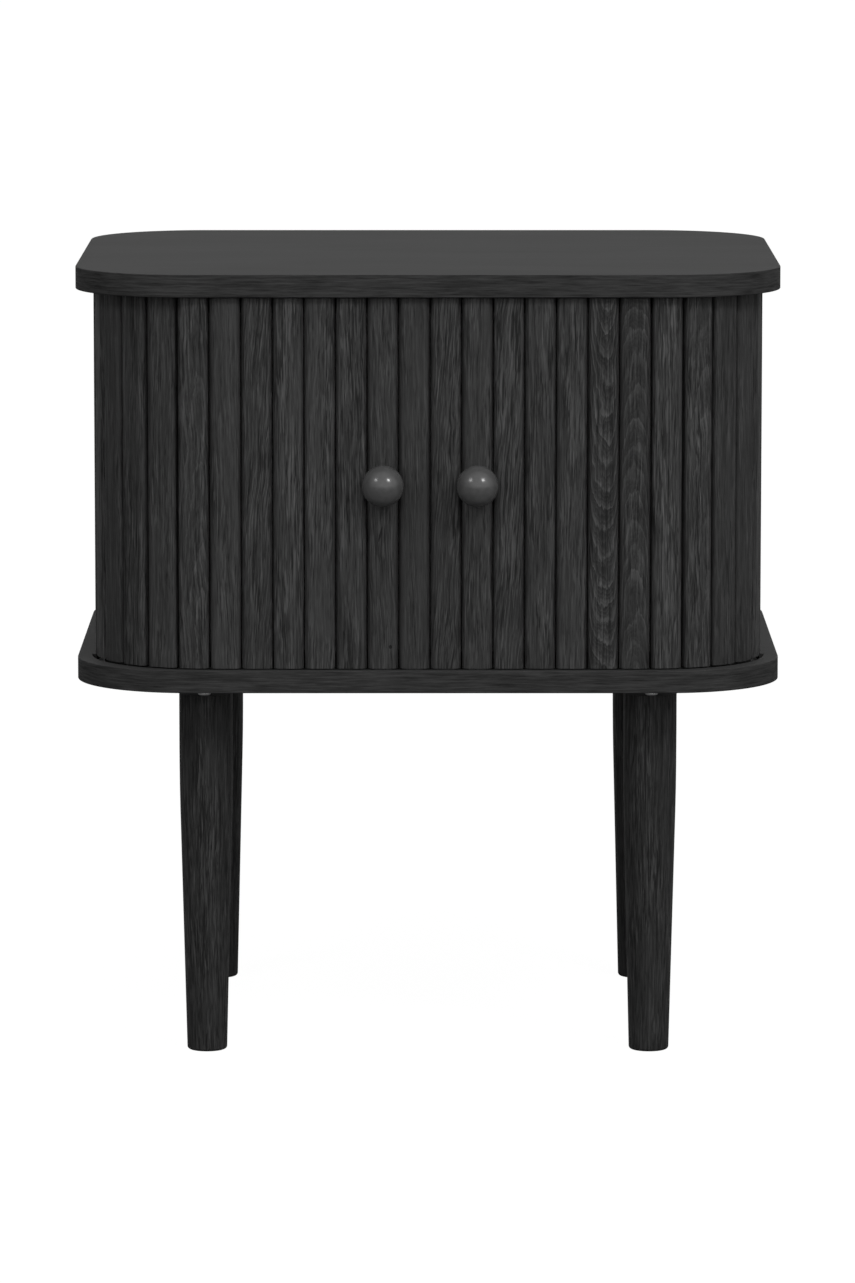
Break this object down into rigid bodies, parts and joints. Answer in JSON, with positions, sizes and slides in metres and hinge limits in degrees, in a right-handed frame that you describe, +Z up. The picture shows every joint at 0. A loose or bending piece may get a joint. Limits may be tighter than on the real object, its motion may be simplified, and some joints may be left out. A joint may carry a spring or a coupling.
{
  "type": "bedside cabinet",
  "caption": "Free-standing bedside cabinet with two slatted roller doors that slide round the front corners, ball knobs and round tapered legs.",
  "frame": {"origin": "on the floor under the middle of the whole object, knobs included", "axes": "+Z up; the doors face -Y; +X is to the right of someone facing the doors"},
  "size_m": [0.5, 0.4232, 0.56],
  "materials": {
    "stained_oak": "black stained oak, satin, open grain",
    "slat_oak": "black stained oak slats, satin, upright grain",
    "leg_oak": "black stained oak, turned",
    "knob_lacquer": "black lacquered wood, satin",
    "inner_panel": "black stained veneer",
    "plate_steel": "black powder coat",
    "zinc_steel": "zinc plated",
    "bright_steel": "bright zinc",
    "door_cloth": "black cotton canvas",
    "dowel_beech": "plain beech"
  },
  "bodies": {
    "carcass": {"top_board": "stained_oak", "bottom_board": "stained_oak", "side_wall_left": "inner_panel", "side_wall_right": "inner_panel", "back_panel": "inner_panel", "dowels": "dowel_beech", "cam_bolts": "zinc_steel", "cam_discs": "zinc_steel", "bottom_screws": "zinc_steel", "leg_front_left": "leg_oak", "leg_front_right": "leg_oak", "leg_rear_left": "leg_oak", "leg_rear_right": "leg_oak", "leg_plate_front_left": "plate_steel", "leg_plate_front_right": "plate_steel", "leg_plate_rear_left": "plate_steel", "leg_plate_rear_right": "plate_steel", "leg_bolts": "zinc_steel", "leg_plate_screws": "bright_steel"},
    "left_door": {"slat_left_01": "slat_oak", "slat_left_02": "slat_oak", "knob_left": "knob_lacquer", "knob_screw_left": "zinc_steel", "door_cloth_left": "door_cloth"},
    "left_slat_03": {"slat_left_03": "slat_oak"},
    "left_slat_04": {"slat_left_04": "slat_oak"},
    "left_slat_05": {"slat_left_05": "slat_oak"},
    "left_slat_06": {"slat_left_06": "slat_oak"},
    "left_slat_07": {"slat_left_07": "slat_oak"},
    "left_slat_08": {"slat_left_08": "slat_oak"},
    "left_slat_09": {"slat_left_09": "slat_oak"},
    "left_slat_10": {"slat_left_10": "slat_oak"},
    "left_slat_11": {"slat_left_11": "slat_oak"},
    "left_slat_12": {"slat_left_12": "slat_oak"},
    "left_slat_13": {"slat_left_13": "slat_oak"},
    "right_door": {"slat_right_01": "slat_oak", "slat_right_02": "slat_oak", "knob_right": "knob_lacquer", "knob_screw_right": "zinc_steel", "door_cloth_right": "door_cloth"},
    "right_slat_03": {"slat_right_03": "slat_oak"},
    "right_slat_04": {"slat_right_04": "slat_oak"},
    "right_slat_05": {"slat_right_05": "slat_oak"},
    "right_slat_06": {"slat_right_06": "slat_oak"},
    "right_slat_07": {"slat_right_07": "slat_oak"},
    "right_slat_08": {"slat_right_08": "slat_oak"},
    "right_slat_09": {"slat_right_09": "slat_oak"},
    "right_slat_10": {"slat_right_10": "slat_oak"},
    "right_slat_11": {"slat_right_11": "slat_oak"},
    "right_slat_12": {"slat_right_12": "slat_oak"},
    "right_slat_13": {"slat_right_13": "slat_oak"}
  },
  "joints": [
    {"name": "left_door_slide", "type": "slide", "parent": "carcass", "child": "left_door", "axis": [-1, 0, 0], "range_m": [0, 0.108], "deforming": ["door_cloth_left"]},
    {"name": "left_slat_03_turn", "type": "hinge", "parent": "carcass", "child": "left_slat_03", "pos_m": [-0.09672, 0.95357, 0.4125], "axis": [0, 0, -1], "range_deg": [0, 5.48]},
    {"name": "left_slat_04_turn", "type": "hinge", "parent": "carcass", "child": "left_slat_04", "pos_m": [-0.11334, 0.10241, 0.4125], "axis": [0, 0, -1], "range_deg": [0, 22.04]},
    {"name": "left_slat_05_turn", "type": "hinge", "parent": "carcass", "child": "left_slat_05", "pos_m": [-0.12533, -0.02008, 0.4125], "axis": [0, 0, -1], "range_deg": [0, 38.92]},
    {"name": "left_slat_06_turn", "type": "hinge", "parent": "carcass", "child": "left_slat_06", "pos_m": [-0.13676, -0.06781, 0.4125], "axis": [0, 0, -1], "range_deg": [0, 55.81]},
    {"name": "left_slat_07_turn", "type": "hinge", "parent": "carcass", "child": "left_slat_07", "pos_m": [-0.14802, -0.09207, 0.4125], "axis": [0, 0, -1], "range_deg": [0, 72.69]},
    {"name": "left_slat_08_turn", "type": "hinge", "parent": "carcass", "child": "left_slat_08", "pos_m": [-0.1537, -0.09888, 0.4125], "axis": [0, 0, -1], "range_deg": [0, 80.55]},
    {"name": "left_slat_09_turn", "type": "hinge", "parent": "carcass", "child": "left_slat_09", "pos_m": [-0.13884, -0.089, 0.4125], "axis": [0, 0, -1], "range_deg": [0, 66.05]},
    {"name": "left_slat_10_turn", "type": "hinge", "parent": "carcass", "child": "left_slat_10", "pos_m": [-0.10771, -0.07769, 0.4125], "axis": [0, 0, -1], "range_deg": [0, 49.17]},
    {"name": "left_slat_11_turn", "type": "hinge", "parent": "carcass", "child": "left_slat_11", "pos_m": [-0.04184, -0.06613, 0.4125], "axis": [0, 0, -1], "range_deg": [0, 32.28]},
    {"name": "left_slat_12_turn", "type": "hinge", "parent": "carcass", "child": "left_slat_12", "pos_m": [0.16942, -0.05348, 0.4125], "axis": [0, 0, -1], "range_deg": [0, 15.4]},
    {"name": "left_slat_13_turn", "type": "hinge", "parent": "carcass", "child": "left_slat_13", "pos_m": [4.08547, -0.03341, 0.4125], "axis": [0, 0, -1], "range_deg": [0, 1.43]},
    {"name": "right_door_slide", "type": "slide", "parent": "carcass", "child": "right_door", "axis": [1, 0, 0], "range_m": [0, 0.108], "deforming": ["door_cloth_right"]},
    {"name": "right_slat_03_turn", "type": "hinge", "parent": "carcass", "child": "right_slat_03", "pos_m": [0.09972, 0.65067, 0.4125], "axis": [0, 0, 1], "range_deg": [0, 7.48]},
    {"name": "right_slat_04_turn", "type": "hinge", "parent": "carcass", "child": "right_slat_04", "pos_m": [0.11504, 0.07581, 0.4125], "axis": [0, 0, 1], "range_deg": [0, 24.33]},
    {"name": "right_slat_05_turn", "type": "hinge", "parent": "carcass", "child": "right_slat_05", "pos_m": [0.12689, -0.02894, 0.4125], "axis": [0, 0, 1], "range_deg": [0, 41.21]},
    {"name": "right_slat_06_turn", "type": "hinge", "parent": "carcass", "child": "right_slat_06", "pos_m": [0.13829, -0.07204, 0.4125], "axis": [0, 0, 1], "range_deg": [0, 58.1]},
    {"name": "right_slat_07_turn", "type": "hinge", "parent": "carcass", "child": "right_slat_07", "pos_m": [0.14953, -0.09436, 0.4125], "axis": [0, 0, 1], "range_deg": [0, 74.96]},
    {"name": "right_slat_08_turn", "type": "hinge", "parent": "carcass", "child": "right_slat_08", "pos_m": [0.15282, -0.09799, 0.4125], "axis": [0, 0, 1], "range_deg": [0, 79.36]},
    {"name": "right_slat_09_turn", "type": "hinge", "parent": "carcass", "child": "right_slat_09", "pos_m": [0.13568, -0.08748, 0.4125], "axis": [0, 0, 1], "range_deg": [0, 63.76]},
    {"name": "right_slat_10_turn", "type": "hinge", "parent": "carcass", "child": "right_slat_10", "pos_m": [0.10161, -0.07614, 0.4125], "axis": [0, 0, 1], "range_deg": [0, 46.88]},
    {"name": "right_slat_11_turn", "type": "hinge", "parent": "carcass", "child": "right_slat_11", "pos_m": [0.0271, -0.06451, 0.4125], "axis": [0, 0, 1], "range_deg": [0, 29.99]},
    {"name": "right_slat_12_turn", "type": "hinge", "parent": "carcass", "child": "right_slat_12", "pos_m": [-0.2399, -0.05144, 0.4125], "axis": [0, 0, 1], "range_deg": [0, 13.11]},
    {"name": "right_slat_13_turn", "type": "hinge", "parent": "carcass", "child": "right_slat_13", "pos_m": [-9.36344, -0.03041, 0.4125], "axis": [0, 0, 1], "range_deg": [0, 0.645]}
  ],
  "couplings": [
    {"joint": "left_slat_03_turn", "follows": "left_door_slide", "rad_per_m": 0.88482},
    {"joint": "left_slat_04_turn", "follows": "left_door_slide", "rad_per_m": 3.5617},
    {"joint": "left_slat_05_turn", "follows": "left_door_slide", "rad_per_m": 6.2901},
    {"joint": "left_slat_06_turn", "follows": "left_door_slide", "rad_per_m": 9.0185},
    {"joint": "left_slat_07_turn", "follows": "left_door_slide", "rad_per_m": 11.747},
    {"joint": "left_slat_08_turn", "follows": "left_door_slide", "rad_per_m": 13.017},
    {"joint": "left_slat_09_turn", "follows": "left_door_slide", "rad_per_m": 10.674},
    {"joint": "left_slat_10_turn", "follows": "left_door_slide", "rad_per_m": 7.9456},
    {"joint": "left_slat_11_turn", "follows": "left_door_slide", "rad_per_m": 5.2172},
    {"joint": "left_slat_12_turn", "follows": "left_door_slide", "rad_per_m": 2.4889},
    {"joint": "left_slat_13_turn", "follows": "left_door_slide", "rad_per_m": 0.2317},
    {"joint": "right_slat_03_turn", "follows": "right_door_slide", "rad_per_m": 1.2084},
    {"joint": "right_slat_04_turn", "follows": "right_door_slide", "rad_per_m": 3.9321},
    {"joint": "right_slat_05_turn", "follows": "right_door_slide", "rad_per_m": 6.6605},
    {"joint": "right_slat_06_turn", "follows": "right_door_slide", "rad_per_m": 9.3889},
    {"joint": "right_slat_07_turn", "follows": "right_door_slide", "rad_per_m": 12.113},
    {"joint": "right_slat_08_turn", "follows": "right_door_slide", "rad_per_m": 12.825},
    {"joint": "right_slat_09_turn", "follows": "right_door_slide", "rad_per_m": 10.304},
    {"joint": "right_slat_10_turn", "follows": "right_door_slide", "rad_per_m": 7.5753},
    {"joint": "right_slat_11_turn", "follows": "right_door_slide", "rad_per_m": 4.8469},
    {"joint": "right_slat_12_turn", "follows": "right_door_slide", "rad_per_m": 2.1185},
    {"joint": "right_slat_13_turn", "follows": "right_door_slide", "rad_per_m": 0.10423}
  ]
}
